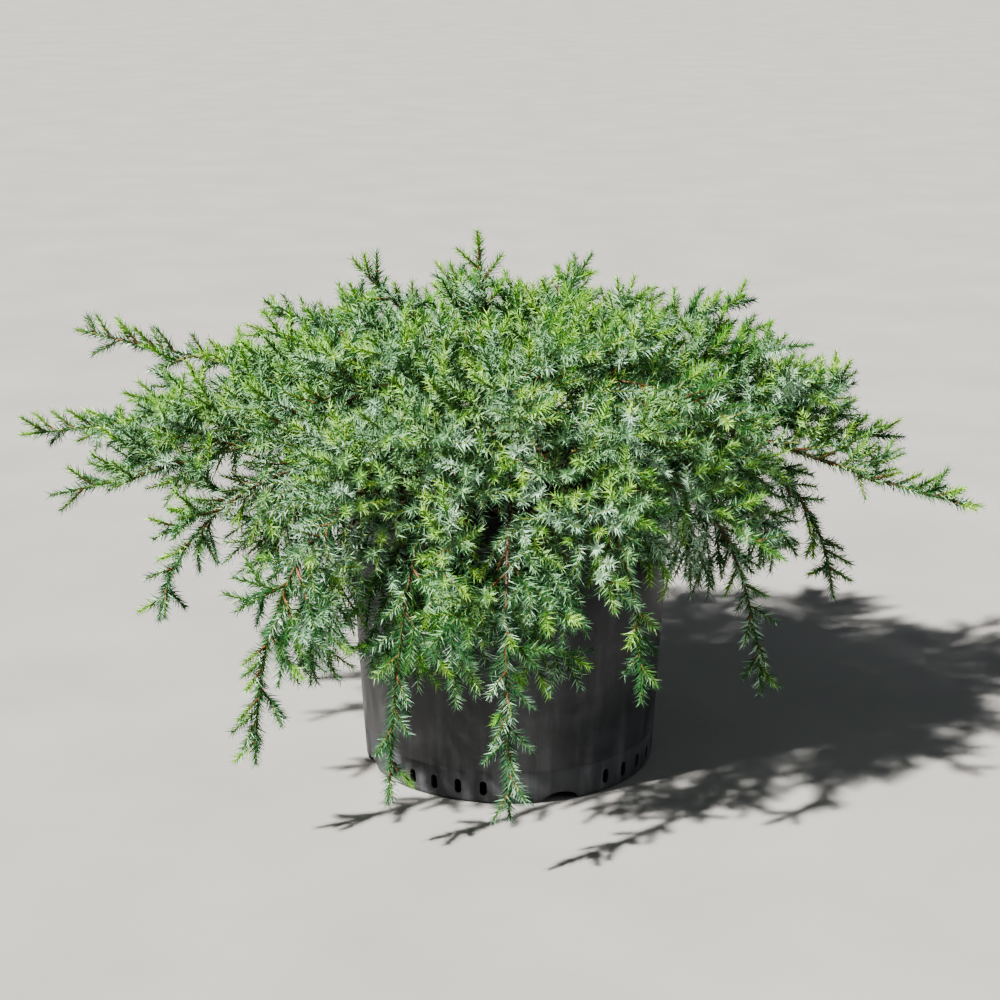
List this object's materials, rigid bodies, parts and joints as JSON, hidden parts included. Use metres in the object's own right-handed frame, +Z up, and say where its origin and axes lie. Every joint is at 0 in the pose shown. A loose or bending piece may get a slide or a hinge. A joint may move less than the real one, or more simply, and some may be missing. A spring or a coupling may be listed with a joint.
{
  "type": "potted juniper shrub",
  "caption": "Low spreading needle-leaved juniper with arching and hanging shoots, growing in a round black tapered nursery pot with drain slots round its foot.",
  "frame": {"origin": "centre of the pot's flat underside", "axes": "+Z up; -Y is the side that faces the viewer; +X to the viewer's right"},
  "size_m": [0.7836, 0.6089, 0.4335],
  "materials": {
    "pot": "matte blow-moulded plastic, dusty low down",
    "soil": "damp composted bark mix",
    "bark": "rough red-brown bark",
    "foliage": "blue-green awl needles with bright yellow-green tips"
  },
  "bodies": {
    "root": {"pot": "pot", "soil": "soil", "trunk": "bark", "bough_lower_1": "bark", "bough_lower_2": "bark", "bough_lower_3": "bark", "bough_lower_4": "bark", "bough_lower_5": "bark", "bough_lower_6": "bark", "bough_lower_7": "bark", "bough_lower_8": "bark", "bough_lower_9": "bark", "bough_middle_1": "bark", "bough_middle_2": "bark", "bough_middle_3": "bark", "bough_middle_4": "bark", "bough_middle_5": "bark", "bough_middle_6": "bark", "bough_middle_7": "bark", "bough_middle_8": "bark", "bough_middle_9": "bark", "bough_middle_10": "bark", "bough_middle_11": "bark", "bough_middle_12": "bark", "bough_middle_13": "bark", "bough_middle_14": "bark", "bough_upper_1": "bark", "bough_upper_2": "bark", "foliage_lower_1": "foliage", "foliage_lower_2": "foliage", "foliage_lower_3": "foliage", "foliage_lower_4": "foliage", "foliage_lower_5": "foliage", "foliage_lower_6": "foliage", "foliage_lower_7": "foliage", "foliage_lower_8": "foliage", "foliage_lower_9": "foliage", "foliage_middle_1": "foliage", "foliage_middle_2": "foliage", "foliage_middle_3": "foliage", "foliage_middle_4": "foliage", "foliage_middle_5": "foliage", "foliage_middle_6": "foliage", "foliage_middle_7": "foliage", "foliage_middle_8": "foliage", "foliage_middle_9": "foliage", "foliage_middle_10": "foliage", "foliage_middle_11": "foliage", "foliage_middle_12": "foliage", "foliage_middle_13": "foliage", "foliage_middle_14": "foliage", "foliage_upper_1": "foliage", "foliage_upper_2": "foliage", "foliage_crown_1": "foliage", "foliage_crown_2": "foliage", "foliage_crown_3": "foliage", "foliage_crown_4": "foliage", "foliage_crown_5": "foliage", "foliage_crown_6": "foliage", "foliage_crown_top": "foliage"}
  },
  "joints": []
}
